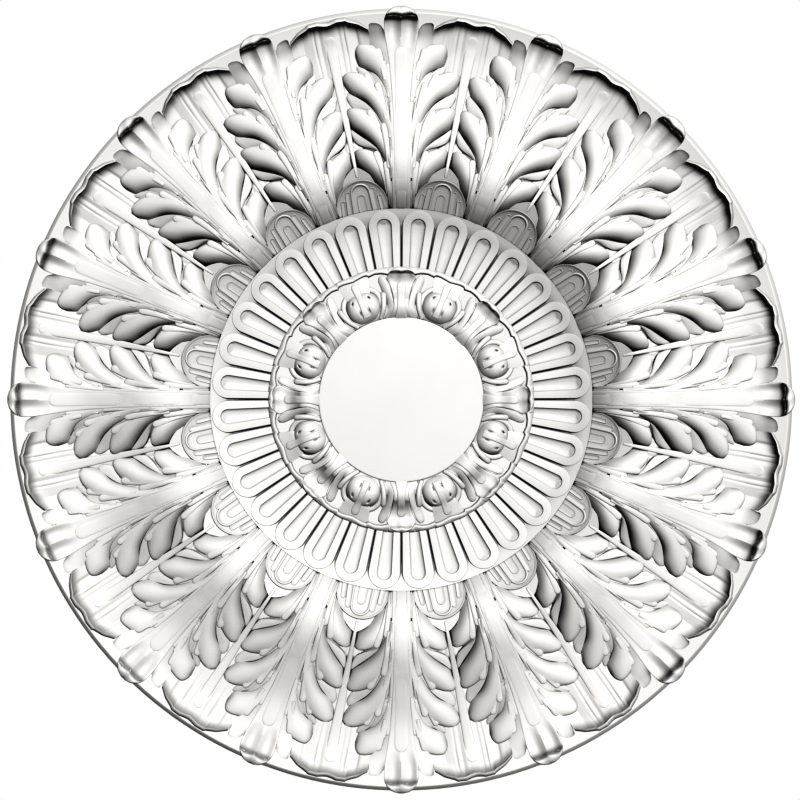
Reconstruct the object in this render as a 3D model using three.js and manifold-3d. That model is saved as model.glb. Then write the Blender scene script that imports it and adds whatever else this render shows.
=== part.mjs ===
// A round plaster rosette for a wall or ceiling: a plain centre disc, a roll of eggs and tongues,
// a fluted ring, then a wreath of sixteen acanthus leaves over sixteen water leaves, in a plain rim.
// It is one casting. Millimetres. The back lies in the plane y = 0, and the face looks along -Y.
// Every form is worked out facing +Z, with its own axis along +Y, and turned into place at the end.
import * as THREE from 'three';
import { mergeVertices } from 'three/addons/utils/BufferGeometryUtils.js';
import Module from 'manifold-3d';

// How often each form comes round, and how many flats stand for a full circle.
const LEAVES = 16;
const FLUTES = 32;
const EGGS = 8;
const RIM_FLATS = 48;
const CENTRE_FLATS = 32;

// The plate and its rim, as radii and heights above the wall.
const RIM_RADIUS = 391;
const RIM_EDGE = 8;
const CREST_RADIUS = 386;
const CREST = 13.5;
const FIELD_RADIUS = 374;
const FIELD = 10;

// The fluted ring, the roll and the disc, as radii and heights.
const RING_RADIUS = 189.5;
const RING_EDGE = 25.8;
const COVE_RADIUS = 169;
const COVE = 17.2;
const BAND_RADIUS = 130.5;
const BAND = 14;
const ROLL = [[128, 17], [117.5, 12.5], [102, 21.5], [90, 23.5]];
const DISC_RADIUS = 82;
const DISC = 21;

// The acanthus leaf: its spine as [distance from the centre, height], how its halves fall away from
// the flat-topped rib, and how its lobes swell between the clefts.
const LEAF_SPINE = [
  [189, 15], [203, 26], [221, 38], [244, 46], [269, 42], [295, 36.5],
  [320, 33], [340, 32], [356, 34], [367, 40], [371.5, 46], [375.5, 53.5], [386, 40],
];
const RIB_HALF_WIDTH = 6;
const RIB_END = 346;
const RIB_TAPER = 5;
const HALF_FALL = 0.36;
const LOBE_SWELL = 3.5;
const LOBE_DROP = 5;
const CLEFT_DEPTH = 5;

// Rows of one half, base to tip, each running from the rib out to the outline:
// [place on the rib, outline x, outline y, what the row is].
const LEAF_ROWS = [
  [188, 44, 235, 'lobe'], [207, 39.5, 247.5, 'cleft'],
  [220, 50, 266.5, 'lobe'], [232, 53, 286.5, 'lobe'], [243, 42, 290, 'cleft'],
  [252, 53.5, 300.5, 'lobe'], [266, 56, 321.5, 'lobe'], [281, 41, 325.5, 'cleft'],
  [290, 42, 330.5, 'lobe'], [303, 43.5, 349, 'lobe'], [315, 29, 352, 'cleft'],
  [326, 29.5, 370, 'ear'],
  [339, 17, 366, 'tip'], [344, 14, 383, 'tip'],
];
const ROW_BEND = { across: 0.42, out: 0.62 };

// Where the tip ends, in the middle.
const TIP_END = 385.5;

// How far out each point of a row lies, rib to outline.
const ROW_STATIONS = { tip: [0, 0.75, 1], other: [0, 0.68, 1] };

// The water leaf behind: where its blade leaves the field, its scalloped end as [half width,
// distance from the centre, height], and the lip that falls away outside that end.
const WATER_START = 356;
const WATER_START_TOP = 10.5;
const WATER_SAG = 0.12;
const WATER_END = [[37.5, 366, 22], [20, 376, 31], [0, 374.5, 28]];
const WATER_LIP = 6;
const WATER_LIP_FALL = 10.5;

// The shell-shaped bud between two leaves, from the raised arch in its middle to its edge, as
// [half width, end, height at the foot, height at the end].
const BUD_START = 185;
const BUD_LINES = [[2, 187, 18, 18], [11, 218, 17, 26], [23, 227, 12, 19]];
const BUD_FLATS = 5;
const BUD_SQUARENESS = 0.8;

// The tapered channel of a flute, as [place, half width, depth], and how far its cutter stands
// clear of the face.
const CHANNEL = [[132.5, 3.6, 1.8], [169, 7, 3.6], [181.5, 4.6, 2]];
const CHANNEL_MOUTH = 1;
const CHANNEL_CLEARANCE = 26;

// The roll: eggs that bulge towards the disc, and tongues that curl over the outer edge.
const EGG_RADII = [17.5, 17, 11.5];
const EGG_PLACE = [96.5, 15.5];
const EGG_FLATS = [8, 4];
const TONGUE = [[83, 6, 23], [94, 7, 28], [116.5, 12, 17], [127, 12.5, 21], [132, 8, 18]];
const TONGUE_CROWN = 3;

// Corners closer than this are one corner.
const MERGE_DISTANCE = 1e-4;

const wasm = await Module();
wasm.setup();

const plaster = new THREE.MeshStandardMaterial({ color: 0xf1efea, roughness: 0.62, metalness: 0 });

// A solid of any closed geometry.
function solidOf(geometry) {
  geometry.deleteAttribute('normal');
  geometry.deleteAttribute('uv');
  const merged = mergeVertices(geometry, MERGE_DISTANCE);
  return new wasm.Manifold(new wasm.Mesh({
    numProp: 3,
    vertProperties: new Float32Array(merged.attributes.position.array),
    triVerts: new Uint32Array(merged.index.array),
  }));
}

// The geometry of a finished solid.
function geometryOf(solid) {
  const mesh = solid.getMesh();
  const geometry = new THREE.BufferGeometry();
  geometry.setAttribute('position', new THREE.BufferAttribute(mesh.vertProperties, 3));
  geometry.setIndex(new THREE.BufferAttribute(mesh.triVerts, 1));
  geometry.computeVertexNormals();
  return geometry;
}

// Straight-line reading of a list of [place, value] pairs.
function along(pairs, place) {
  const found = pairs.findIndex((pair) => pair[0] >= place);
  const next = found < 0 ? pairs.length - 1 : Math.max(found, 1);
  const [from, low] = pairs[next - 1];
  const [to, high] = pairs[next];
  return low + (high - low) * (place - from) / (to - from);
}

// A closed solid under a grid of points: points[row][column] is the carved face, with rows that
// follow each other along +Y and columns that run from right to left. Each four-cornered face is
// split along its higher diagonal, so that it swells. Straight sides go down to a flat underside.
// Where the last row is folded shut on itself, it needs no side of its own.
function solidUnder(points, underside, folded = false) {
  const rows = points.length;
  const columns = points[0].length;
  const positions = [];
  for (const [x, y, z] of points.flat()) positions.push(x, y, z);
  for (const [x, y] of points.flat()) positions.push(x, y, underside);
  const face = (row, column) => row * columns + column;
  const under = (row, column) => (rows + row) * columns + column;
  const faces = [];
  const height = (corner) => positions[3 * corner + 2];
  const quad = (a, b, c, d) => {
    if (height(a) + height(c) >= height(b) + height(d)) faces.push(a, b, c, a, c, d);
    else faces.push(b, c, d, b, d, a);
  };
  for (let r = 0; r < rows - 1; r += 1) {
    for (let c = 0; c < columns - 1; c += 1) {
      quad(face(r, c), face(r + 1, c), face(r + 1, c + 1), face(r, c + 1));
      quad(under(r, c), under(r, c + 1), under(r + 1, c + 1), under(r + 1, c));
    }
    quad(face(r + 1, 0), face(r, 0), under(r, 0), under(r + 1, 0));
    const end = columns - 1;
    quad(face(r, end), face(r + 1, end), under(r + 1, end), under(r, end));
  }
  for (let c = 0; c < columns - 1; c += 1) {
    quad(face(0, c), face(0, c + 1), under(0, c + 1), under(0, c));
    const last = rows - 1;
    if (!folded) quad(face(last, c + 1), face(last, c), under(last, c), under(last, c + 1));
  }
  const geometry = new THREE.BufferGeometry();
  geometry.setAttribute('position', new THREE.Float32BufferAttribute(positions, 3));
  geometry.setIndex(faces);
  return solidOf(geometry);
}

// A round body with the axis +Z.
function turned(profile, flats) {
  const points = profile.map(([radius, height]) => new THREE.Vector2(radius, height));
  return solidOf(new THREE.LatheGeometry(points, flats).rotateX(Math.PI / 2));
}

// The plate with its raised rim.
function plate() {
  return turned([[0, 0], [RIM_RADIUS, 0], [RIM_RADIUS, RIM_EDGE], [CREST_RADIUS, CREST],
    [FIELD_RADIUS, FIELD], [0, FIELD]], RIM_FLATS);
}

// The disc, the roll and the coved ring, before it is fluted. Its first flat faces a flute.
function centre() {
  return turned([[0, FIELD], [RING_RADIUS, FIELD], [RING_RADIUS, RING_EDGE], [COVE_RADIUS, COVE],
    [BAND_RADIUS, BAND], ...ROLL, [DISC_RADIUS, DISC], [0, DISC]], CENTRE_FLATS);
}

// What is taken out of one flute, worked out face down and turned over.
function channel() {
  const rows = CHANNEL.map(([y, halfWidth, depth]) => {
    const floor = along([[BAND_RADIUS, BAND], [COVE_RADIUS, COVE], [RING_RADIUS, RING_EDGE]], y);
    const mouth = -floor - CHANNEL_MOUTH;
    return [[halfWidth, y, mouth], [0, y, depth - floor], [-halfWidth, y, mouth]];
  });
  return solidUnder(rows, -RING_EDGE - CHANNEL_CLEARANCE).mirror([0, 0, 1]);
}

// A point of one row of a leaf: the row bends away from the rib as the vein of a lobe does, its
// height falls from the spine's, and its lobe swells or its cleft dips.
function leafPoint([start, outlineX, outlineY, part], place) {
  const stations = ROW_STATIONS[part] ?? ROW_STATIONS.other;
  const out = stations[place];
  const ribX = RIB_HALF_WIDTH * Math.min((RIB_END - start) / RIB_TAPER, 1);
  const bendX = THREE.MathUtils.lerp(ribX, outlineX, ROW_BEND.across);
  const bendY = THREE.MathUtils.lerp(start, outlineY, ROW_BEND.out);
  const back = 1 - out;
  const x = back * back * ribX + 2 * back * out * bendX + out * out * outlineX;
  const y = back * back * start + 2 * back * out * bendY + out * out * outlineY;
  const fall = part === 'tip' ? 0 : HALF_FALL * Math.max(x - RIB_HALF_WIDTH, 0);
  const lift = {
    lobe: [0, LOBE_SWELL, -LOBE_DROP],
    cleft: [0, -CLEFT_DEPTH, -CLEFT_DEPTH],
    ear: [0, -CLEFT_DEPTH, -2 * CLEFT_DEPTH],
    tip: [0, 0, 0],
  }[part][place];
  return [x, y, along(LEAF_SPINE, y) - fall + lift];
}

// One acanthus leaf, whose last row is folded along the middle of the tip.
function leaf() {
  const half = LEAF_ROWS.map((row) => [2, 1, 0].map((place) => leafPoint(row, place)));
  const rows = half.map((row) => [...row, ...row.map(([x, y, z]) => [-x, y, z]).reverse()]);
  const middle = ROW_STATIONS.tip.map((out) => THREE.MathUtils.lerp(RIB_END, TIP_END, out));
  const fold = middle.map((y) => [0, y, along(LEAF_SPINE, y)]).reverse();
  return solidUnder([...rows, [...fold, ...[...fold].reverse()]], FIELD, true);
}

// The upturned, scalloped end of one water leaf.
function waterLeaf() {
  const end = [...WATER_END, ...WATER_END.slice(0, -1).reverse().map(([x, y, z]) => [-x, y, z])];
  const narrowing = WATER_START / WATER_END[0][1];
  const start = end.map(([x]) => [
    narrowing * x, WATER_START - WATER_SAG * Math.abs(x), WATER_START_TOP,
  ]);
  const lip = end.map(([x, y, z]) => [x, y + WATER_LIP, z - WATER_LIP_FALL]);
  return solidUnder([start, end, lip], FIELD);
}

// One bud: a low shell that leans outwards, with each line of it an arch.
function bud() {
  const rows = BUD_LINES.map(([halfWidth, end, foot, top]) => {
    const row = [];
    for (let flat = 0; flat <= BUD_FLATS; flat += 1) {
      const turn = Math.PI * flat / BUD_FLATS;
      const share = Math.sin(turn) ** BUD_SQUARENESS;
      const y = THREE.MathUtils.lerp(BUD_START, end, share);
      row.push([halfWidth * Math.cos(turn), y, THREE.MathUtils.lerp(foot, top, share)]);
    }
    return row;
  });
  return solidUnder(rows, FIELD);
}

// One egg, as an ellipsoid.
function egg() {
  const geometry = new THREE.SphereGeometry(1, ...EGG_FLATS).rotateX(Math.PI / 2);
  return solidOf(geometry.scale(...EGG_RADII).translate(0, ...EGG_PLACE));
}

// One tongue, with a ridge along its middle.
function tongue() {
  const rows = TONGUE.map(([y, halfWidth, top]) => [[halfWidth, y, top - TONGUE_CROWN], [0, y, top],
    [-halfWidth, y, top - TONGUE_CROWN]]);
  return solidUnder(rows, FIELD);
}

// Copies of a solid at equal turns about the centre, in degrees.
function around(solid, count, offset) {
  return Array.from({ length: count }, (_, k) => solid.rotate([0, 0, offset + 360 * k / count]));
}

const leafPitch = 360 / LEAVES;
const flutePitch = 360 / FLUTES;
const ring = around(channel(), FLUTES, flutePitch / 2)
  .reduce((solid, cutter) => solid.subtract(cutter), centre());
const carving = [
  ...around(leaf(), LEAVES, 0),
  ...around(waterLeaf(), LEAVES, leafPitch / 2),
  ...around(bud(), LEAVES, leafPitch / 2),
  ...around(egg(), EGGS, leafPitch),
  ...around(tongue(), EGGS, 0),
];
const casting = carving.reduce((solid, form) => solid.add(form), plate().add(ring));

const rosette = new THREE.Mesh(geometryOf(casting), plaster);
rosette.name = 'rosette';

const group = new THREE.Group();
group.rotation.x = Math.PI / 2;
group.add(rosette);

export default group;
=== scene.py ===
import bpy
import numpy as np
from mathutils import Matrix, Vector


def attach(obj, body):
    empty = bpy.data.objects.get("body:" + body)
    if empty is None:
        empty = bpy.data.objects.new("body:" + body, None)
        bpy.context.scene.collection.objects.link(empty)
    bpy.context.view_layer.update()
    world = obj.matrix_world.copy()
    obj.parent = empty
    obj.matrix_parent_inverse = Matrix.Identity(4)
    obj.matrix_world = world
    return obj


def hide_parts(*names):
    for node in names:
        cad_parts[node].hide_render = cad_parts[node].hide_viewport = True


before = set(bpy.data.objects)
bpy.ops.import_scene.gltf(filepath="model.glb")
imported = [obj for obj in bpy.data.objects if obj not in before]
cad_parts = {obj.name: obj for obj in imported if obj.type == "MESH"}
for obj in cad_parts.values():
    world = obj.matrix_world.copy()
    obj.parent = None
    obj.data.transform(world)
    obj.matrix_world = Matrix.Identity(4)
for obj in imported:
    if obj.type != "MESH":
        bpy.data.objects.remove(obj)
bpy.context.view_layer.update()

# The camera. It looks square at the middle of the face from 1.7 m in front of the plate's rim, as
# the outlines below were read. Sizes are in millimetres, x to the right, y up and z out of the wall.
MM = 0.001
EYE = 1700.0
READ_HEIGHT = 8.0
PICTURE = 800
MIDDLE = (401.25, 399.6)
SENSOR = 36.0
NEAREST = 0.05
scene = bpy.context.scene
eye = bpy.data.cameras.new("eye")
eye.sensor_width = SENSOR
eye.lens = SENSOR * EYE / PICTURE
eye.shift_x = (PICTURE / 2 - MIDDLE[0]) / PICTURE
eye.shift_y = (MIDDLE[1] - PICTURE / 2) / PICTURE
eye.clip_start = NEAREST
camera = bpy.data.objects.new("camera", eye)
camera.location = (0, -(EYE + READ_HEIGHT) * MM, 0)
camera.rotation_euler = (np.pi / 2, 0, 0)
scene.collection.objects.link(camera)
scene.camera = camera

# The plaster. It is cast in a flexible mould and left unpainted: white, dull and faintly chalky,
# with a fine grain from the mould and soft patches of tone. Shade is painted into the colour of the
# deepest cuts: near black wherever ambient occlusion finds little open sky close by.
PLASTER_WHITE = (0.90, 0.895, 0.885, 1)
PLASTER_PATCH = (0.86, 0.853, 0.84, 1)
# Painted shade: the near-black colour that goes into the deepest cuts and creases.
PAINTED_SHADE = (0.02, 0.02, 0.02, 1)
PLASTER_ROUGHNESS = 0.62
PLASTER_SPECULAR = 0.25
PATCH_SCALE = 14.0
PATCH_DETAIL = 4
GRAIN_SCALE = 900.0
GRAIN_DETAIL = 2
GRAIN_DEPTH = 0.00012
GRAIN_STRENGTH = 0.25
# Reach, rays and thresholds of the painted shade that ambient occlusion lays into the cuts.
PAINTED_SHADE_REACH = 0.003
PAINTED_SHADE_RAYS = 8
PAINTED_SHADE_FULL = 0.08
PAINTED_SHADE_NONE = 0.48


def plaster_material():
    """Cast plaster: two whites mixed by soft noise, and painted shade, near black, where little of the sky
    is seen.
    """
    material = bpy.data.materials.new("cast_plaster")
    material.use_nodes = True
    nodes, links = material.node_tree.nodes, material.node_tree.links
    shader = nodes["Principled BSDF"]
    shader.inputs["Roughness"].default_value = PLASTER_ROUGHNESS
    shader.inputs["Specular IOR Level"].default_value = PLASTER_SPECULAR
    place = nodes.new("ShaderNodeTexCoord")
    patches = nodes.new("ShaderNodeTexNoise")
    patches.inputs["Scale"].default_value = PATCH_SCALE
    patches.inputs["Detail"].default_value = PATCH_DETAIL
    white = nodes.new("ShaderNodeMix")
    white.data_type = "RGBA"
    white.inputs["A"].default_value = PLASTER_WHITE
    white.inputs["B"].default_value = PLASTER_PATCH
    # Painted shade: ambient occlusion within a few millimetres mixes the colour towards near black in
    # shut-in cuts.
    shut_in = nodes.new("ShaderNodeAmbientOcclusion")
    shut_in.inputs["Distance"].default_value = PAINTED_SHADE_REACH
    shut_in.samples = PAINTED_SHADE_RAYS
    cut = nodes.new("ShaderNodeMapRange")
    cut.interpolation_type = "SMOOTHSTEP"
    cut.inputs["From Min"].default_value = PAINTED_SHADE_FULL
    cut.inputs["From Max"].default_value = PAINTED_SHADE_NONE
    painted_shade_mix = nodes.new("ShaderNodeMix")
    painted_shade_mix.data_type = "RGBA"
    painted_shade_mix.inputs["A"].default_value = PAINTED_SHADE
    grain = nodes.new("ShaderNodeTexNoise")
    grain.inputs["Scale"].default_value = GRAIN_SCALE
    grain.inputs["Detail"].default_value = GRAIN_DETAIL
    bump = nodes.new("ShaderNodeBump")
    bump.inputs["Strength"].default_value = GRAIN_STRENGTH
    bump.inputs["Distance"].default_value = GRAIN_DEPTH
    links.new(place.outputs["Object"], patches.inputs["Vector"])
    links.new(place.outputs["Object"], grain.inputs["Vector"])
    links.new(patches.outputs["Fac"], white.inputs["Factor"])
    links.new(shut_in.outputs["AO"], cut.inputs["Value"])
    links.new(cut.outputs["Result"], painted_shade_mix.inputs["Factor"])
    links.new(white.outputs["Result"], painted_shade_mix.inputs["B"])
    links.new(painted_shade_mix.outputs["Result"], shader.inputs["Base Color"])
    links.new(grain.outputs["Fac"], bump.inputs["Height"])
    links.new(bump.outputs["Normal"], shader.inputs["Normal"])
    return material


plaster = plaster_material()

# The plate. It is the back of the plaster casting: a plain disc whose face rises a little towards
# the rim, and a raised rim that is bevelled on its outside. Its back is flat and is bedded on the
# wall with adhesive. Everything below is cast in one with it.
RIM = 391.0
RIM_EDGE = 8.0
CREST = (386.0, 13.5)
FIELD = 10.0
FIELD_EDGE = 372.0
PLATE_CAP = 20.0
PLATE_TURNS = 192
SHARP_EDGE = 50.0


def carried_round(profile, turns):
    """A profile of (radius, height) pairs turned about the middle: x = r sin a, y = r cos a."""
    angles = np.linspace(0, 2 * np.pi, turns, endpoint=False)
    radii, heights = np.array(profile, float).T
    x = radii[:, None] * np.sin(angles)
    y = radii[:, None] * np.cos(angles)
    z = np.broadcast_to(heights[:, None], x.shape)
    return np.stack([x, y, z], -1)


def wrapped_faces(rows, columns):
    """Four-cornered faces of a grid whose last column meets its first."""
    row, column = np.meshgrid(np.arange(rows - 1), np.arange(columns), indexing="ij")
    ahead = (column + 1) % columns
    corners = [row * columns + column, row * columns + ahead]
    corners += [(row + 1) * columns + ahead, (row + 1) * columns + column]
    return np.stack(corners, -1).reshape(-1, 4)


def piece_of(name, points, quads, caps=()):
    """One mesh object of points in millimetres: quads as rows of four, caps as flat outlines."""
    world = np.stack([points[:, 0], -points[:, 2], points[:, 1]], -1) * MM
    mesh = bpy.data.meshes.new(name)
    loops = np.concatenate([quads.ravel(), *[np.asarray(cap) for cap in caps]])
    totals = np.concatenate([np.full(len(quads), 4), [len(cap) for cap in caps]]).astype(np.int32)
    starts = np.concatenate([[0], np.cumsum(totals)[:-1]])
    mesh.vertices.add(len(world))
    mesh.vertices.foreach_set("co", world.astype(np.float32).ravel())
    mesh.loops.add(len(loops))
    mesh.loops.foreach_set("vertex_index", loops.astype(np.int32))
    mesh.polygons.add(len(totals))
    mesh.polygons.foreach_set("loop_start", starts.astype(np.int32))
    mesh.polygons.foreach_set("loop_total", totals)
    mesh.polygons.foreach_set("use_smooth", np.ones(len(totals), bool))
    mesh.update(calc_edges=True)
    mesh.set_sharp_from_angle(angle=np.radians(SHARP_EDGE))
    mesh.materials.append(plaster)
    piece = bpy.data.objects.new(name, mesh)
    scene.collection.objects.link(piece)
    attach(piece, "root")
    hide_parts("rosette")


rim_profile = [
    (PLATE_CAP, 0), (RIM - 1, 0), (RIM, 1), (RIM, RIM_EDGE - 0.7), (RIM - 0.4, RIM_EDGE),
    (CREST[0] + 0.6, CREST[1] - 0.4), CREST, (CREST[0] - 0.9, CREST[1] - 0.2),
    (FIELD_EDGE, FIELD + 0.4), (FIELD_EDGE - 6, FIELD), (PLATE_CAP, FIELD),
]
plate_points = carried_round(rim_profile, PLATE_TURNS)
rows = len(rim_profile)
ends = [np.arange(PLATE_TURNS)[::-1], np.arange(PLATE_TURNS) + (rows - 1) * PLATE_TURNS]
piece_of("plate", plate_points.reshape(-1, 3), wrapped_faces(rows, PLATE_TURNS)[:, ::-1], ends)

# The acanthus leaves, sixteen alike, of plaster and cast in one with the plate. Each has a tongue
# with a hollowed tip, a flat rib, thin fingers beside it, and lobes that swell and roll over at the
# edge. They overlap as a carver cut them in the model, and all lie on the wreath's arch.
LEAVES = 16
FOOT = 4.0


def through(stations, shares):
    """A smooth line through the stations at shares of its length: cubic pieces whose slopes are
    those from neighbour to neighbour."""
    stations = np.array(stations, float)
    flat = stations[:, : min(2, stations.shape[1])]
    steps = np.linalg.norm(np.diff(flat, axis=0), axis=1)
    knots = np.concatenate([[0], np.cumsum(steps)]) / steps.sum()
    slopes = np.gradient(stations, knots, axis=0)
    piece = np.clip(np.searchsorted(knots, shares, side="right") - 1, 0, len(knots) - 2)
    width = (knots[piece + 1] - knots[piece])[:, None]
    t = ((shares - knots[piece])[:, None]) / width
    start, end = stations[piece], stations[piece + 1]
    out = (2 * t**3 - 3 * t**2 + 1) * start + (3 * t**2 - 2 * t**3) * end
    return out + width * ((t**3 - 2 * t**2 + t) * slopes[piece] + (t**3 - t**2) * slopes[piece + 1])


def drawn_in(points):
    """Points as read from the eye, put where they really are: nearer the middle, the higher."""
    nearer = 1 - (points[..., 2:] - READ_HEIGHT) / EYE
    return np.concatenate([points[..., :2] * nearer, points[..., 2:]], -1)


def standing(grid):
    """A closed body under a grid of points: its sides drop straight from the grid's edge to the
    foot that all bodies share, inside the plate."""
    top = drawn_in(grid)
    rows, columns = top.shape[:2]
    number = np.arange(rows * columns).reshape(rows, columns)
    quads = np.stack([number[:-1, :-1], number[1:, :-1], number[1:, 1:], number[:-1, 1:]], -1)
    edge = np.concatenate([number[0, :-1], number[:-1, -1], number[-1, :0:-1], number[:0:-1, 0]])
    points = top.reshape(-1, 3)
    below = points[edge].copy()
    below[:, 2] = FOOT
    low = np.arange(len(edge)) + len(points)
    sides = np.stack([edge, np.roll(edge, -1), np.roll(low, -1), low], -1)
    quads = np.concatenate([quads.reshape(-1, 4), sides])
    across = np.cross(top[1:, :-1] - top[:-1, :-1], top[:-1, 1:] - top[:-1, :-1])[..., 2].sum()
    cap = low[::-1]
    if across < 0:
        quads, cap = quads[:, ::-1], cap[::-1]
    return np.concatenate([points, below]), quads, [cap]


def mirrored(body):
    """The same body on the other side of the leaf's middle."""
    points, quads, caps = body
    return points * (-1, 1, 1), quads[:, ::-1], [cap[::-1] for cap in caps]


def joined(bodies, turns=(0.0,)):
    """Several bodies as one, repeated at each turn about the middle, in degrees clockwise."""
    points, quads, caps, count = [], [], [], 0
    for turn in np.radians(turns):
        spin = np.array([[np.cos(turn), -np.sin(turn), 0], [np.sin(turn), np.cos(turn), 0], [0, 0, 1]])
        for body_points, body_quads, body_caps in bodies:
            points.append(body_points @ spin)
            quads.append(body_quads + count)
            caps += [cap + count for cap in body_caps]
            count += len(body_points)
    return np.concatenate(points), np.concatenate(quads), caps


def eased(count, amount):
    """Shares from 0 to 1, drawn towards both ends: even steps and cosine steps mixed by amount."""
    even = np.linspace(0, 1, count)
    return (1 - amount) * even + amount * (1 - np.cos(np.pi * even)) / 2


def rounding(shares, start):
    """0 up to start, then a quarter circle that ends at 1."""
    past = np.clip((shares - start) / (1 - start), 0, 1)
    return 1 - np.sqrt(1 - past**2)


def lobe(inner, outer, end, bow, roll, roll_from=0.82, rows=32, columns=19):
    """A swell between two long edges and an end edge, which draws the lines across it into its own
    shape by the cube of the share along. Across it the height leaves the inner edge's and falls to
    the outer edge's as the share across to a power that grows from foot to end. At its end it rolls
    down by a quarter circle. Lines stand closer at both ends and, by the power 1.3, outwards."""
    u = eased(rows, 0.5)[:, None]
    v = 1 - (1 - eased(columns, 0.35)[None, :]) ** 1.3
    inside, outside = through(inner, u[:, 0]), through(outer, u[:, 0])
    cap = through([inner[-1][:2], *end, outer[-1][:2]], v[0])
    chord = (1 - v)[..., None] * inside[-1, :2] + v[..., None] * outside[-1, :2]
    level = (1 - v)[..., None] * inside[:, None, :2] + v[..., None] * outside[:, None, :2]
    place = level + (u**3)[..., None] * (cap[None] - chord)
    power = bow[0] + (bow[1] - bow[0]) * u
    height = inside[:, None, 2] + (outside[:, None, 2] - inside[:, None, 2]) * v**power
    height = height - roll * rounding(u, roll_from)
    return standing(np.concatenate([place, height[..., None]], -1))


def finger(path, start_width, end_width, rise, waist=0.0, square=4.0, rows=20, columns=7):
    """A long low bar with a round end: a superellipse carried along a path. Its half width grows
    evenly from start to end, less a waist by the sine, and closes as a quarter circle over the last
    1.1 half widths. Rows stand closer towards the end, by the power 1.8."""
    path = np.array(path, float)
    length = np.linalg.norm(np.diff(path[:, :2], axis=0), axis=1).sum()
    closing = 1 - 1.1 * end_width / length
    u = 1 - (1 - np.linspace(0, 1, rows)) ** 1.8
    v = np.sin(np.linspace(-1, 1, columns) * np.pi / 2)[None, :]
    line = through(path, u)
    ahead = np.gradient(line[:, :2], axis=0)
    side = np.stack([ahead[:, 1], -ahead[:, 0]], -1) / np.linalg.norm(ahead, axis=1)[:, None]
    closed = 1 - rounding(u, closing)
    width = (start_width + (end_width - start_width) * u) * (1 - waist * np.sin(np.pi * u))
    width = width * np.maximum(closed, 0.02)
    place = line[:, None, :2] + side[:, None] * (width[:, None] * v)[..., None]
    crown = np.sqrt(np.clip(1 - np.abs(v) ** square, 0, 1))
    crown = crown * np.sqrt(np.clip(closed, 0, 1))[:, None]
    height = line[:, None, 2] - rise * (1 - crown)
    return standing(np.concatenate([place, height[..., None]], -1))


SPINE = [
    (186, 14), (192, 18.2), (204, 28), (216, 37), (228, 42.5), (240, 46), (254, 47), (270, 45),
    (288, 40), (306, 36), (324, 33), (336, 32), (348, 32.3), (360, 34), (368, 35.3), (374, 37.4),
    (378, 39.2), (381.2, 41.4), (384.6, 52), (386, 53), (389, 51.6), (391.5, 49.6), (393.8, 45),
]
SHEET = [
    (186, 7, 2), (200, 10, 6), (212, 15, 12), (222, 25, 22), (232, 34, 30), (246, 36, 30),
    (258, 41, 31), (270, 47, 31), (288, 45, 26), (300, 48, 27), (310, 51, 25), (324, 45, 20),
    (335, 38, 15), (345, 33, 13), (358, 26, 11), (370, 19, 7),
]
SHEET_BELOW = [(186, 1.3), (335, 1.3), (352, 4.5), (370, 9)]
EYES = [(9.6, 218.6), (10.1, 259.2), (14.8, 299), (16.4, 338.8)]
EYE_DEPTH = 4.0
EYE_WIDTH = 2.4
EYE_LENGTH = 3.0


def leaf_sheet(rows=46, columns=29):
    """The leaf's back, which the lobes swell from. Across it the height falls from the spine's by
    the share across to the power 2.2, and it dips as a bell curve under each eye."""
    far, half, fall = np.array(SHEET, float).T
    y = np.linspace(far[0], far[-1], rows)
    s = np.linspace(-1, 1, columns)[None, :]
    spine = through(SPINE, np.linspace(0, 1, 400))
    below = np.interp(y, *np.array(SHEET_BELOW, float).T)
    level = (np.interp(y, spine[:, 0], spine[:, 1]) - below)[:, None]
    height = level - np.interp(y, far, fall)[:, None] * np.abs(s) ** 2.2
    across = np.interp(y, far, half)[:, None] * s
    for eye_x, eye_y in EYES:
        aside, along = (np.abs(across) - eye_x) / EYE_WIDTH, (y[:, None] - eye_y) / EYE_LENGTH
        height = height - EYE_DEPTH * np.exp(-(aside**2) - along**2)
    return standing(np.stack([across, np.broadcast_to(y[:, None], across.shape), height], -1))


# The lobes, from the foot to the ear, as read on one half: the edge against the fingers, the outer
# edge, and the corner points of the end between them. Under lobes show in the clefts.
lobe_d = lobe(
    inner=[
        (9, 190, 1), (11, 204, 11.6), (14, 217, 29.4), (18.6, 228, 37.2), (24, 239, 39.6),
        (28.6, 248.4, 40),
    ],
    outer=[
        (24, 190, 0), (30, 205, -2), (34.4, 216, 6), (39.6, 226, 16), (44.8, 233, 20.4),
        (47.2, 241, 23.4),
    ],
    end=[(38, 250.8), (44, 250), (46.9, 247)], bow=(0.9, 3.4), roll=3, roll_from=0.82,
)
lobe_c = lobe(
    inner=[
        (8, 222, 41), (10.4, 240, 46), (14, 254, 45), (19, 266, 42), (26, 279, 38),
        (34.4, 289.4, 33.6),
    ],
    outer=[
        (11, 222, 39), (19, 243, 38), (29, 256.4, 32.4), (40, 264.6, 26.4), (50, 270.6, 22.2),
        (55.4, 280, 23),
    ],
    end=[(45.6, 291.8), (52.6, 290.8), (55.2, 287)], bow=(1.3, 3.5), roll=4, roll_from=0.72,
)
lobe_b = lobe(
    inner=[
        (7.8, 250, 46.4), (9, 268, 45), (12, 283, 42), (17.6, 297, 39), (25.4, 311, 35),
        (37.4, 325.4, 31),
    ],
    outer=[
        (10, 250, 45), (17, 271, 39.8), (26, 287.4, 33.4), (37, 299, 27.2), (50, 305, 22.6),
        (58.9, 315.5, 23),
    ],
    end=[(48.6, 327.6), (55.6, 326), (58.8, 321.6)], bow=(1.3, 3.5), roll=4, roll_from=0.76,
)
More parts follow.
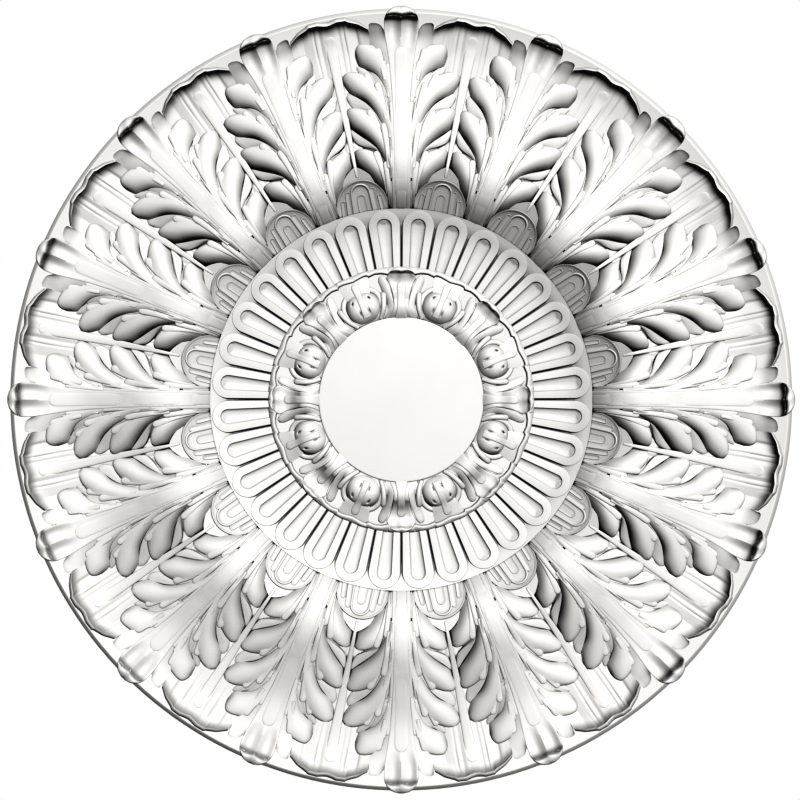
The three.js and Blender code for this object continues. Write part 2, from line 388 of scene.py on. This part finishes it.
lobe_a = lobe(
    inner=[
        (9.6, 298, 38), (11, 314, 36.4), (13.6, 328, 35), (18, 340, 34), (23.4, 349, 33.4),
        (29, 354.6, 33),
    ],
    outer=[
        (12, 298, 37), (18, 316, 33.6), (26, 326.4, 29.4), (34.4, 330.4, 25.8), (41.8, 333, 22.8),
        (46.2, 342.5, 24),
    ],
    end=[(37.6, 355.6), (43.2, 354.4), (45.9, 349.6)], bow=(1.3, 3.4), roll=3.4, roll_from=0.8,
)
under_c = lobe(
    inner=[(13, 236, 40), (20, 247, 37.5), (29, 255.5, 33), (40, 263, 27.6), (51, 271, 23)],
    outer=[
        (14, 234, 39), (20, 243.5, 35.5), (28, 250, 31.5), (37, 253, 28), (45, 256.5, 24.6),
        (50.4, 261.5, 21),
    ],
    end=[(52.4, 268)], bow=(2, 4), roll=1.5, roll_from=0.9, rows=22, columns=12,
)
under_b = lobe(
    inner=[(17, 270, 39), (26, 287, 34), (36, 297, 28.6), (46, 303, 23.8), (54, 307, 21)],
    outer=[(19, 268, 37), (28, 284, 32), (38, 290, 28), (48, 291.6, 23.6), (54, 298, 20.4)],
    end=[(55.6, 303)], bow=(2, 4), roll=1.5, roll_from=0.9, rows=22, columns=12,
)
under_a = lobe(
    inner=[(24, 312, 33), (30, 325, 28), (37, 331, 24), (43, 334, 21)],
    outer=[(26, 310, 31), (34, 321, 27), (41, 325.6, 24), (45.5, 331, 20.4)],
    end=[(45.6, 333.5)], bow=(2, 4), roll=1.0, roll_from=0.9, rows=18, columns=12,
)
ear = lobe(
    inner=[(11, 328, 32), (13, 345, 30.5), (15.3, 360, 31), (17.8, 370, 35.5)],
    outer=[(29, 340, 24), (30.8, 352, 25), (32, 362, 28.5), (32.6, 374.5, 38)],
    end=[(21.5, 375), (27, 376.6), (31.5, 376)], bow=(1.0, 1.0), roll=-1.5, roll_from=0.6,
    rows=22, columns=12,
)
shoulder = finger(
    [
        (6.6, 186, 13.8), (6.9, 204, 27.2), (7.2, 217, 36.6), (7.4, 235, 43.8), (7.8, 254, 46),
        (8.9, 280, 41.4), (10.4, 304, 35.6), (12.2, 322, 32.6), (14, 336, 31.4),
    ],
    2.3, 2.2, rise=0.8, square=3.0, rows=48, columns=7,
)
# The shoulder runs beside the rib. Then, from the foot outwards, come a thin fold that ends at each
# eye and the fingers between that fold and its lobe.
fingers = [
    shoulder,
    finger([(9.6, 190, 14), (9.6, 205, 27.4), (10.1, 218.6, 36.4)], 1.3, 0.9, rise=0.8),
    finger([(11.2, 192, 14), (12.6, 214, 34.4), (14, 228, 40.4), (15.2, 238.4, 42.2)], 1.6, 3.5, rise=1.2),
    finger([(13.4, 206, 25), (16.6, 222, 35.8), (21, 236, 39.8), (25.8, 248.6, 40)], 1.8, 3.8, rise=1.2),
    finger([(9.9, 221.6, 39), (9.8, 240, 45), (10.5, 259.4, 45)], 1.5, 0.9, rise=0.8),
    finger([(12.2, 232, 43), (14, 252, 46), (16, 266, 43.6), (17.9, 277, 41.4)], 1.9, 3.6, rise=1.2),
    finger([(14.6, 248, 44), (18.8, 262, 42), (25.6, 277, 37.8), (32.9, 290, 34.2)], 2, 4, rise=1.2),
    finger([(11, 262.4, 45), (12.4, 282, 41.8), (15.2, 299.4, 36.8)], 1.4, 0.9, rise=0.8),
    finger([(15, 281, 42), (18.8, 299, 38.2), (22, 309, 36), (24.6, 317.4, 34.8)], 2, 3.7, rise=1.2),
    finger([(19.6, 292, 38.8), (24.8, 305, 35.8), (31, 317, 32), (36.2, 326, 30.2)], 2, 3.6, rise=1.2),
    finger([(12.8, 303, 37), (14.4, 325, 34), (16.8, 339.2, 31.6)], 1.4, 0.9, rise=0.8),
    finger([(16.2, 320, 36), (19.4, 335, 34), (22, 344.5, 33), (24.3, 351.4, 32.6)], 2, 3.8, rise=1.2),
]


def tongue(spine, half_widths, tip, dips, humps, edges, power=0.5, rows=78, columns=27):
    """A long tongue. Its height follows the spine. Across it the height dips by the sine of the
    share across to the power 1.2, once on each side of the middle, and falls over the outermost
    share from 0.82 by a quarter circle. The humps shift the spine's heights outwards by the same
    sine. Its far end closes as an oval of the power 2.4."""
    spine_y, spine_z = through(spine, np.linspace(0, 1, 600)).T
    y = spine_y[0] + (spine_y[-1] - spine_y[0]) * np.linspace(0, 1, rows) ** power
    s = np.sin(np.linspace(-1, 1, columns) * np.pi / 2)[None, :]
    past = ((y - tip[0]) / (tip[1] - tip[0])).clip(0, 1)
    half = np.interp(y, *np.array(half_widths, float).T) * np.sqrt(1 - past**2.4)
    wave = np.sin(np.pi * np.abs(s))
    reading = y[:, None] - np.interp(y, *np.array(humps, float).T)[:, None] * wave
    dip = np.interp(y, *np.array(dips, float).T)[:, None] * wave**1.2
    edge = np.interp(y, *np.array(edges, float).T)[:, None] * rounding(np.abs(s), 0.82)
    height = np.interp(reading, spine_y, spine_z) - dip - edge
    across = half[:, None] * s
    return standing(np.stack([across, np.broadcast_to(y[:, None], across.shape), height], -1))


leaf_tongue = tongue(
    SPINE,
    half_widths=[
        (188, 6.2), (217, 6.4), (250, 7.1), (280, 8), (310, 9.6), (335, 12), (355, 15), (368, 17),
        (378, 17.3),
    ],
    tip=(376, 394),
    dips=[(340, 0), (352, 0.8), (360, 2.6), (372, 4.4), (380, 4.2), (385, 3), (390, 1.5)],
    humps=[(374, 0), (384, 1.6), (390, 1.2)],
    edges=[(186, 0.4), (350, 0.6), (370, 1.2), (378, 1.8), (386, 4.5)],
)
rib = finger(
    [
        (0, 186, 14.4), (0, 204, 28.4), (0, 228, 42.9), (0, 254, 47.4), (0, 288, 40.4), (0, 320, 33.9),
        (0, 352.8, 33),
    ],
    4.9, 6.9, rise=0.5, rows=40, columns=11,
)
ARCH = [
    (180, 3.4), (186, 5), (192, 6.4), (198, 7.6), (204, 8), (216, 6.4), (228, 4.4), (240, 2.2),
    (254, -0.6), (270, -3.6), (288, -5.8), (306, -7.4), (324, -8.6), (345, -9), (360, -9), (370, -9),
    (376, -9), (380, -8), (383, -4), (385.6, -0.4), (387, 0), (400, 0),
]
LEAST_HEIGHT = FOOT + 2
JUST_ABOVE_FOOT = FOOT + 0.001


def arched(body):
    """The same body on the wreath's arch: its height changes by the arch line at its radius, as
    read from the eye. Its foot keeps its height, and is moved in by as much as the edge above."""
    points, quads, caps = body
    line = through(ARCH, np.linspace(0, 1, 500))
    seen = points[:, :2] / (1 - (points[:, 2:] - READ_HEIGHT) / EYE)
    lift = np.interp(np.hypot(seen[:, 0], seen[:, 1]), line[:, 0], line[:, 1])
    low = points[:, 2] <= JUST_ABOVE_FOOT
    risen = np.where(low, FOOT, np.maximum(points[:, 2] + lift, LEAST_HEIGHT))
    moved = drawn_in(np.concatenate([seen, risen[:, None]], -1))
    foot = points[low, :2]
    moved[low, :2] = foot * (1 - np.interp(np.hypot(*foot.T), *line.T) / EYE)[:, None]
    return moved, quads, caps


half = [lobe_d, lobe_c, lobe_b, lobe_a, under_c, under_b, under_a, ear, *fingers]
whole = [leaf_tongue, rib, leaf_sheet(), *half, *[mirrored(body) for body in half]]
leaf = [arched(body) for body in whole]
pitch = 360 / LEAVES
for quarter, name in enumerate(["leaves_top", "leaves_right", "leaves_bottom", "leaves_left"]):
    piece_of(name, *joined(leaf, (np.arange(4) + 4 * quarter - 1) * pitch))

# The water leaves, sixteen plain broad ones of plaster that lie on the plate behind the others and
# show between them. Each has creases, a flat strap up its middle, and an end that curls up to a
# scalloped lip. They are cast in one with the plate.
WATER_CREST = [
    (-39.6, 369.2, 23.6), (-31, 376, 27.6), (-20.6, 380.4, 30.8), (-19.4, 381.8, 31.4),
    (-10, 382.2, 31.2), (-3.4, 380.5, 29.8), (0, 380, 29.4), (3.4, 380.5, 29.8), (10, 382.2, 31.2),
    (19.4, 381.8, 31.4), (20.6, 380.4, 30.8), (31, 376, 27.6), (39.6, 369.2, 23.6),
]
WATER_FLOOR = [
    (224, 18), (240, 15.6), (258, 13.8), (275, 12.8), (300, 12.4), (330, 12.2), (350, 12.6),
    (366, 15), (384, 18.8),
]
WATER_HALF_WIDTH = [(224, 23), (345, 38.6), (360, 39.4)]
WATER_SECTION = [
    (0, -39, 2), (5, -29.5, 0.4), (8, -27, -1.2), (12, -22, -0.2), (17, -16.5, 0.8), (19, -15, -0.1),
    (21, -13.6, 0.7), (24, -12, 0.8), (27, -9.8, 0.1), (31, -6, 1.6), (41, 6, 1.6), (45, 9.8, 0.1),
    (48, 12, 0.8), (51, 13.6, 0.7), (53, 15, -0.1), (55, 16.5, 0.8), (60, 22, -0.2), (64, 27, -1.2),
    (67, 29.5, 0.4), (72, 39, 2),
]
SECTION_DEPTH = [(325, 0.4), (362, 1)]
CURL = 18.0
CURL_BEYOND = [(0.35, 0.9), (1.5, 0.7), (2.9, -1.2), (3.8, -5), (4.0, -9)]
CURL_REACH = [(0, 1.15), (0.5, 1), (1, 0.7)]


def water_leaf(rows=34):
    """A blade from foot to crest. Across, it follows its section of (column, place, height), which
    widens and deepens evenly outwards. Over its last stretch it curls up: the rise is the share of
    that stretch to the power 4.5. Beyond the crest it turns over and down."""
    count, place, relief = np.array(WATER_SECTION, float).T
    column = np.arange(int(count[-1]) + 1)
    across = np.interp(column, count, place) / place[-1]
    lift = np.interp(column, count, relief)
    crest_x, crest_y, crest_z = np.array(WATER_CREST).T
    end_y = np.interp(across * crest_x[-1], crest_x, crest_y)
    end_z = np.interp(across * crest_x[-1], crest_x, crest_z)
    foot = WATER_FLOOR[0][0]
    y = foot + (1 - (1 - np.linspace(0, 1, rows)[:, None]) ** 1.7) * (end_y[None] - foot)
    x = np.interp(y, *np.array(WATER_HALF_WIDTH, float).T) * across[None]
    past = np.clip((y - end_y[None] + CURL) / CURL, 0, 1)
    floor = np.interp(y, *through(WATER_FLOOR, np.linspace(0, 1, 400)).T)
    deep = np.interp(y, *np.array(SECTION_DEPTH, float).T)
    height = floor + (end_z[None] - floor) * past**4.5 + lift[None] * deep * (1 - past**3)
    beyond = np.array(CURL_BEYOND)
    reach = np.interp(np.abs(across), *np.array(CURL_REACH, float).T)
    x = np.concatenate([x, np.repeat(x[-1:], len(beyond), 0)])
    y = np.concatenate([y, end_y[None] + beyond[:, :1] * reach])
    height = np.concatenate([height, end_z[None] + beyond[:, 1:]])
    return standing(np.stack([x, y, height], -1))


water_strap = finger(
    [
        (0, 226.4, 33.4), (0, 233, 36.2), (0, 240, 36), (0, 255, 31.6), (0, 275, 24.8), (0, 300, 18.6),
        (0, 330, 15), (0, 350, 14.7), (0, 360, 15.6), (0, 369.6, 18.2),
    ],
    1.3, 6.4, rise=0.9, rows=50, columns=9,
)
between = (np.arange(LEAVES) + 0.5) * pitch
piece_of("water_leaves", *joined([water_leaf(), water_strap], between))

# The buds, sixteen shells that lean out from the ring between the leaves, cast in one with both.
# Each is a round-ended plaster pad with a raised edge and nested arches, on a pointed sepal.
BUD_SLOPE = [(184, 9), (226, 34.2)]
SEPAL_LINE = [(196, 14), (210, 22.4), (222, 29.2), (237, 36.4)]
SEPAL_WIDEST = 200.0
SEPAL_HALF_WIDTH = 21.0
SEPAL_CUP = 0.1


def arch(start, bend, at_start, at_bend, lifts, slope, rows, turns, middle=0.0, lean=0.0):
    """A pad with straight sides from start to bend and a half circle beyond. Each of its lines
    follows that outline at its own half width, at a lift above the slope, which is a height by
    the distance along the middle. Its middle stands at a place across, and leans over by a share."""
    at_start, at_bend, lifts = (np.array(row, float)[None, :] for row in (at_start, at_bend, lifts))
    share = np.linspace(0, 1, rows)[:, None]
    side = at_start + (at_bend - at_start) * share
    up = np.broadcast_to(start + (bend - start) * share, side.shape)
    angle = np.linspace(-np.pi / 2, np.pi / 2, turns)[1:-1, None]
    x = np.concatenate([-side, at_bend * np.sin(angle), side[::-1]])
    y = np.concatenate([up, bend + at_bend * np.cos(angle), up[::-1]])
    far, height = np.array(slope, float).T
    x = x + middle + lean * (y - start)
    grid = drawn_in(np.stack([x, y, np.interp(y, far, height) + lifts], -1))
    count, lines = x.shape
    number = np.arange(count * lines).reshape(count, lines)
    quads = np.stack([number[:-1, :-1], number[:-1, 1:], number[1:, 1:], number[1:, :-1]], -1)
    inner = number[:, -1]
    half = count // 2
    near, mate = inner[:half], inner[::-1][:half]
    strip = np.stack([near[:-1], mate[:-1], mate[1:], near[1:]], -1)
    edge = np.concatenate([number[0], number[-1, ::-1], number[-2:0:-1, 0]])
    points = grid.reshape(-1, 3)
    below = points[edge].copy()
    below[:, 2] = FOOT
    low = np.arange(len(edge)) + len(points)
    walls = np.stack([edge, low, np.roll(low, -1), np.roll(edge, -1)], -1)
    quads = np.concatenate([quads.reshape(-1, 4), strip, walls])
    return np.concatenate([points, below]), quads, [low]


def sepal(rows=24, columns=17):
    """A pointed leaf, a little cupped. Its half width is one less the share beyond its widest place
    to the power 2.5, all to the power 0.8. Its height follows its line and grows evenly across."""
    far, heights = np.array(SEPAL_LINE, float).T
    t = 1 - (1 - np.linspace(0, 1, rows)[:, None]) ** 1.6
    s = np.sin(np.linspace(-1, 1, columns) * np.pi / 2)[None, :]
    y = far[0] + (far[-1] - far[0]) * t
    beyond = np.clip(y - SEPAL_WIDEST, 0, None) / (far[-1] - SEPAL_WIDEST)
    half = SEPAL_HALF_WIDTH * np.clip(1 - beyond**2.5, 0.0004, 1) ** 0.8
    height = np.interp(y, far, heights) + SEPAL_CUP * np.abs(half * s)
    return standing(np.stack([half * s, np.broadcast_to(y, height.shape), height], -1))


shell = arch(
    184, 197,
    [26.6, 26.4, 25.8, 25, 24.2, 23.4, 12, 1],
    [26.8, 26.6, 26, 25.2, 24.4, 23.6, 12, 1],
    [-3, 0.3, 1.3, 1.2, 0.5, 0, 0, 0],
    BUD_SLOPE, rows=14, turns=50,
)
main_arch = arch(
    184, 209.8,
    [12, 11.6, 10.8, 10.2, 9.6, 9, 8.5, 8, 4, 1],
    [10.6, 10.3, 9.8, 9.2, 8.6, 8.1, 7.7, 7.2, 4, 1],
    [-1, 0.9, 1.6, 1.9, 1.7, 1, 0.5, 0.3, 0.3, 0.3],
    BUD_SLOPE, rows=10, turns=26,
)
inner_arch = arch(
    184, 204.4,
    [4.9, 4.7, 4.4, 4, 3.6, 2, 0.7],
    [4.7, 4.5, 4.2, 3.8, 3.4, 2, 0.7],
    [-0.6, 0.7, 1.05, 1, 0.6, 0.5, 0.5],
    BUD_SLOPE, rows=8, turns=20,
)
side_arch = arch(
    184, 211.4,
    [3.6, 3.4, 3, 2.4, 1.4, 0.4],
    [3, 2.8, 2.4, 1.9, 1.1, 0.4],
    [-1.5, 0.7, 1.1, 0.9, 0.5, 0.3],
    BUD_SLOPE, middle=13.6, lean=-0.04, rows=8, turns=16,
)
far_arch = arch(
    184, 203.6,
    [3, 2.8, 2.4, 1.9, 1.1, 0.4],
    [2.7, 2.5, 2.1, 1.7, 1, 0.4],
    [-1.5, 0.6, 1, 0.8, 0.4, 0.2],
    BUD_SLOPE, middle=19.8, lean=-0.06, rows=8, turns=16,
)
side_arches = [side_arch, mirrored(side_arch), far_arch, mirrored(far_arch)]
bud = [sepal(), shell, main_arch, inner_arch, *side_arches]
piece_of("buds", *joined(bud, between))

# The fluted ring, a plaster cove that rises outwards, cast in one with the plate. Thirty-two
# round-ended pads stand on it side by side, each with a half-round flute down its middle.
FLUTES = 32
LAND = [
    (130, 14), (143, 14.6), (153, 15.1), (163, 16.2), (168, 17.1), (173, 18.3), (178, 19.9),
    (183, 21.9), (188, 24.1), (193, 26.4),
]
RING_SECTION = [
    (131, FOOT), (131, 9), (153, 10.1), (163, 11.2), (173, 13.6), (178, 17.4), (182, 20.3),
    (186, 22.2), (191.3, 24.6), (191.3, FOOT),
]
RING_TURNS = 384


def closed_ring(grid):
    """A ring-shaped body from a grid whose last row meets its first and last column its first."""
    rows, turns = grid.shape[:2]
    first = np.arange(turns)
    last = first + (rows - 1) * turns
    seam = np.stack([last, np.roll(last, -1), np.roll(first, -1), first], -1)
    quads = np.concatenate([wrapped_faces(rows, turns), seam])
    return drawn_in(grid).reshape(-1, 3), quads[:, ::-1], []


pad = arch(
    129, 174,
    [12.95, 12.6, 11.5, 11.25, 11, 5.3, 5.1, 4.95, 4.75, 4.3, 3.4, 2.3, 1.1, 0.3],
    [16.95, 16.6, 15.7, 15.5, 15.3, 7.8, 7.6, 7.4, 7.1, 6.5, 5.1, 3.4, 1.7, 0.5],
    [-5, -3.6, -0.35, -0.05, 0, 0, 0, -0.35, -1.2, -2.1, -2.9, -3.3, -3.6, -3.7],
    LAND, rows=16, turns=30,
)
flute_pitch = 360 / FLUTES
piece_of("ring", *closed_ring(carried_round(RING_SECTION, RING_TURNS)))
piece_of("flutes", *joined([pad], (np.arange(FLUTES) + 0.5) * flute_pitch))

# The roll of eggs and tongues round the disc, of plaster and cast in one with it: eight of each,
# with drops between them, a hood round each egg, and a thin scalloped lip outside.
OCTAVE = 45.0
ROLL_TURNS = 192
ROLL_SECTION = [
    (79, FOOT), (79, 14), (84, 17.4), (88, 19.6), (95, 19.6), (103, 13), (110, 7.6), (117, 6),
    (126, 8), (131, 10), (131, FOOT),
]
LIP_LINE = [
    (0, 127.9), (5.4, 127.9), (5.9, 126.2), (9, 128.2), (12, 128.8), (15.2, 127.4), (15.6, 129.3),
    (18, 129), (20.5, 127.9), (22.5, 127.2),
]
LIP_SECTION = [
    (-1.6, -9), (-1.0, -4), (-0.3, -0.6), (0.6, 0), (2, -0.3), (3.6, -1.9), (4.6, -4.2), (4.6, -9),
]
LIP_HEIGHT = 17.6
LIP_OUTSIDE = 133.2


def lip(turns=960):
    """A thin rim carried round a wavy line: the line's radius repeats and mirrors eight times. Its
    outermost two lines run on one plain circle."""
    angle = np.linspace(0, 360, turns, endpoint=False)
    within = np.abs((angle + OCTAVE / 2) % OCTAVE - OCTAVE / 2)
    at, far = np.array(LIP_LINE, float).T
    line = np.interp(within, at, far)
    out, lift = np.array(LIP_SECTION, float).T
    radius = line[None] + out[:, None]
    radius[-2:] = LIP_OUTSIDE
    x, y = radius * np.sin(np.radians(angle)), radius * np.cos(np.radians(angle))
    return closed_ring(np.stack([x, y, np.broadcast_to((LIP_HEIGHT + lift)[:, None], x.shape)], -1))


EGG_MIDDLE = 97.0
EGG_RADIUS = 18.4
EGG_TOP = 26.8
EGG_CROWN = 1.5
EGG_FALL_INWARDS = 0.0425
EGG_FALL_OUTWARDS = 0.0325
EGG_BAND = 6.0
EGG_FALL_ASIDE = 0.044
EGG_EDGE_FALL = 5.0
EGG_PITS = [(8.8, 9.8, 0.35, 4.5, 0.75, 1.7), (4.5, -2.6, 0, 2.2, 0.7, 3.2)]


def egg(rows=28, turns=80):
    """A dome that falls from its crown by the square of the distance inwards, outwards and aside,
    each with its own factor, and at its edge by the share outwards to the power 10. Pits of
    (across, along, slant, depth, half width, half length) are pressed into each side as bell
    curves."""
    s = np.sin(np.linspace(np.pi / 2, 0.04, rows))[:, None]
    angle = np.linspace(0, 2 * np.pi, turns, endpoint=False)[None]
    x, y = EGG_RADIUS * s * np.sin(angle), EGG_RADIUS * s * np.cos(angle)
    inwards = EGG_FALL_INWARDS * np.clip(EGG_CROWN - y, 0, None) ** 2
    outwards = EGG_FALL_OUTWARDS * np.clip(y - EGG_CROWN, 0, None) ** 2
    aside = EGG_FALL_ASIDE * np.clip(np.abs(x) - EGG_BAND, 0, None) ** 2
    height = EGG_TOP - inwards - outwards - aside - EGG_EDGE_FALL * s**10
    for at_x, at_y, slant, deep, thin, long in EGG_PITS:
        across, along = np.abs(x) - at_x + slant * (y - at_y), y - at_y
        height = height - deep * np.exp(-((across / thin) ** 2) - (along / long) ** 2)
    top = drawn_in(np.stack([x, y + EGG_MIDDLE, height], -1))
    bottom = top[:1].copy()
    bottom[..., 2] = FOOT
    points = np.concatenate([bottom, top]).reshape(-1, 3)
    caps = [np.arange(turns), np.arange(turns)[::-1] + rows * turns]
    return points, wrapped_faces(rows + 1, turns)[:, ::-1], caps


small_tongue = tongue(
    [
        (80, 17.5), (84, 21.3), (88, 24), (92, 25.3), (96, 25.3), (100, 23.8), (104, 18.8), (108, 14.4),
        (112, 11.8), (116, 11.1), (120, 11.9), (123.5, 13.9), (126.4, 16.2), (128.4, 21), (129.4, 21.4),
        (131, 20.4), (133, 17),
    ],
    half_widths=[
        (80, 13), (82, 12.2), (86, 10), (91, 8.2), (95, 7.6), (102, 8), (110, 9.7), (117, 12.6),
        (121, 14.8), (126, 13.8),
    ],
    tip=(119.5, 133.2),
    dips=[(80, 0.4), (90, 0), (112, 0.2), (118, 1), (126, 1.5), (129, 0.4)],
    humps=[(120, 0), (126, 0.9)],
    edges=[(80, 2), (100, 1.6), (118, 1.2), (128, 2.4)],
    power=0.8, rows=60, columns=25,
)
small_strap = finger(
    [
        (0, 81, 20.4), (0, 86, 24), (0, 93, 26.3), (0, 98, 25.8), (0, 104, 22.2), (0, 111, 15.8),
        (0, 117.6, 13.4),
    ],
    6.6, 5, rise=1.1, waist=0.36, square=6.0, rows=32, columns=11,
)
long_drop = lobe(
    inner=[
        (10, 80.6, 18), (7.6, 90, 24.2), (7.8, 97, 24.2), (9, 104, 20.8), (11, 110, 16.8),
        (14.6, 118.4, 13.6),
    ],
    outer=[
        (16.4, 80.6, 17.4), (13.2, 90, 21.8), (14.2, 97, 19.4), (17.2, 104, 15), (20, 110, 11.8),
        (23.4, 118, 10.6),
    ],
    end=[(16.6, 122.4), (20.4, 123.6), (23, 121.4)], bow=(1.3, 1.7), roll=1.6, roll_from=0.8,
    rows=26, columns=12,
)
short_drop = finger(
    [(20.6, 80.6, 19.4), (17.9, 90, 23.4), (17.4, 98, 23), (18.2, 107.6, 18.2)],
    2.3, 3, rise=2.6, square=2.4, rows=20, columns=11,
)
hood = finger(
    [
        (13.6, 79.6, 17), (16.8, 89, 20), (18.8, 97.4, 20), (18.8, 104.6, 17.8), (15.6, 110.8, 15.6),
        (9.6, 115, 14.6),
    ],
    2.3, 3.1, rise=2.8, square=2.4, rows=36, columns=13,
)
panel = lobe(
    inner=[(0, 103, 22), (0, 112, 19), (0, 120, 15.8), (0, 127.4, 13)],
    outer=[(10, 104, 15.6), (12.4, 112, 16.4), (14.8, 120, 13.4), (16.2, 127.6, 11)],
    end=[(8, 127.8)], bow=(1.6, 1.6), roll=0, rows=16, columns=10,
)
egg_strap = finger(
    [(0, 89, 26.2), (0, 93, 27.6), (0, 98, 28), (0, 106, 26), (0, 113, 21.4), (0, 124.6, 16.2)],
    3.6, 4.5, rise=1.2, waist=0.24, square=6.0, rows=34, columns=11,
)
drops = [long_drop, short_drop, mirrored(long_drop), mirrored(short_drop)]
tongue_group = [small_tongue, small_strap, *drops]
egg_group = [egg(), egg_strap, panel, mirrored(panel), hood, mirrored(hood)]
octaves = np.arange(0, 360, OCTAVE)
tongues = joined(tongue_group, octaves)
eggs = joined(egg_group, octaves + OCTAVE / 2)
roll_floor = closed_ring(carried_round(ROLL_SECTION, ROLL_TURNS))
piece_of("roll", *joined([roll_floor, lip(), tongues, eggs]))

# The middle, a plain flat disc of plaster inside the roll, with its edge just rounded. It is cast
# in one with the rest.
DISC = 82.0
DISC_TOP = 20.7
DISC_TURNS = 192
disc_profile = [
    (DISC, FOOT), (DISC, DISC_TOP - 0.6), (DISC - 0.5, DISC_TOP - 0.1), (DISC - 1.4, DISC_TOP),
]
disc_points = carried_round(disc_profile, DISC_TURNS).reshape(-1, 3)
rows = len(disc_profile)
ends = [np.arange(DISC_TURNS), np.arange(DISC_TURNS)[::-1] + (rows - 1) * DISC_TURNS]
piece_of("disc", disc_points, wrapped_faces(rows, DISC_TURNS)[:, ::-1], ends)

# The studio: a pale floor well below, a white surround, one light from the upper right that throws
# no shadow, a weaker one from behind for the plain back, and a faint even light from all round.
FLOOR_DROP = 0.9
FLOOR_REACH = 2.0
FLOOR_GREY = (0.8, 0.8, 0.8, 1)
FLOOR_GLOW = 0.5
WHITE = (1, 1, 1, 1)
KEY_TURN = np.radians(60)
KEY_LEAN = np.radians(25)
KEY_SPREAD = np.radians(4)
KEY_STRENGTH = 3.72
BACK_STRENGTH = 2.4
SURROUND_SEEN = 1.0
SURROUND_LIGHT = 0.03
VIEW_GAMMA = 0.4545
floor_corners = FLOOR_REACH * np.array([(-1, -1, 0), (1, -1, 0), (1, 1, 0), (-1, 1, 0)])
floor_mesh = bpy.data.meshes.new("floor")
floor_mesh.from_pydata((floor_corners - (0, 0, FLOOR_DROP)).tolist(), [], [(0, 1, 2, 3)])
floor = bpy.data.objects.new("floor", floor_mesh)
floor_paint = bpy.data.materials.new("floor_paint")
floor_paint.use_nodes = True
floor_shader = floor_paint.node_tree.nodes["Principled BSDF"]
floor_shader.inputs["Base Color"].default_value = FLOOR_GREY
floor_shader.inputs["Roughness"].default_value = 1.0
floor_shader.inputs["Specular IOR Level"].default_value = 0.0
floor_shader.inputs["Emission Color"].default_value = WHITE
floor_shader.inputs["Emission Strength"].default_value = FLOOR_GLOW
floor_mesh.materials.append(floor_paint)
scene.collection.objects.link(floor)
floor.visible_diffuse = False


def sun(name, strength, towards):
    """A far light without shadows, which shines from the direction towards."""
    light = bpy.data.lights.new(name, "SUN")
    light.energy = strength
    light.use_shadow = False
    lamp = bpy.data.objects.new(name, light)
    lamp.rotation_euler = Vector(towards).to_track_quat("Z", "Y").to_euler()
    scene.collection.objects.link(lamp)
    return light


across = np.sin(KEY_LEAN) * np.cos(KEY_TURN)
up = np.sin(KEY_LEAN) * np.sin(KEY_TURN)
key = sun("key", KEY_STRENGTH, (across, -np.cos(KEY_LEAN), up))
key.angle = KEY_SPREAD
sun("back", BACK_STRENGTH, (0, 1, 0))

world = bpy.data.worlds.new("surround")
world.use_nodes = True
scene.world = world
nodes, links = world.node_tree.nodes, world.node_tree.links
seen = nodes["Background"]
seen.inputs["Color"].default_value = WHITE
seen.inputs["Strength"].default_value = SURROUND_SEEN
lit = nodes.new("ShaderNodeBackground")
lit.inputs["Color"].default_value = WHITE
lit.inputs["Strength"].default_value = SURROUND_LIGHT
ray = nodes.new("ShaderNodeLightPath")
choice = nodes.new("ShaderNodeMixShader")
links.new(ray.outputs["Is Camera Ray"], choice.inputs["Fac"])
links.new(lit.outputs["Background"], choice.inputs[1])
links.new(seen.outputs["Background"], choice.inputs[2])
links.new(choice.outputs["Shader"], nodes["World Output"].inputs["Surface"])
scene.view_settings.view_transform = "Standard"
scene.view_settings.gamma = VIEW_GAMMA
scene.cycles.diffuse_bounces = 0
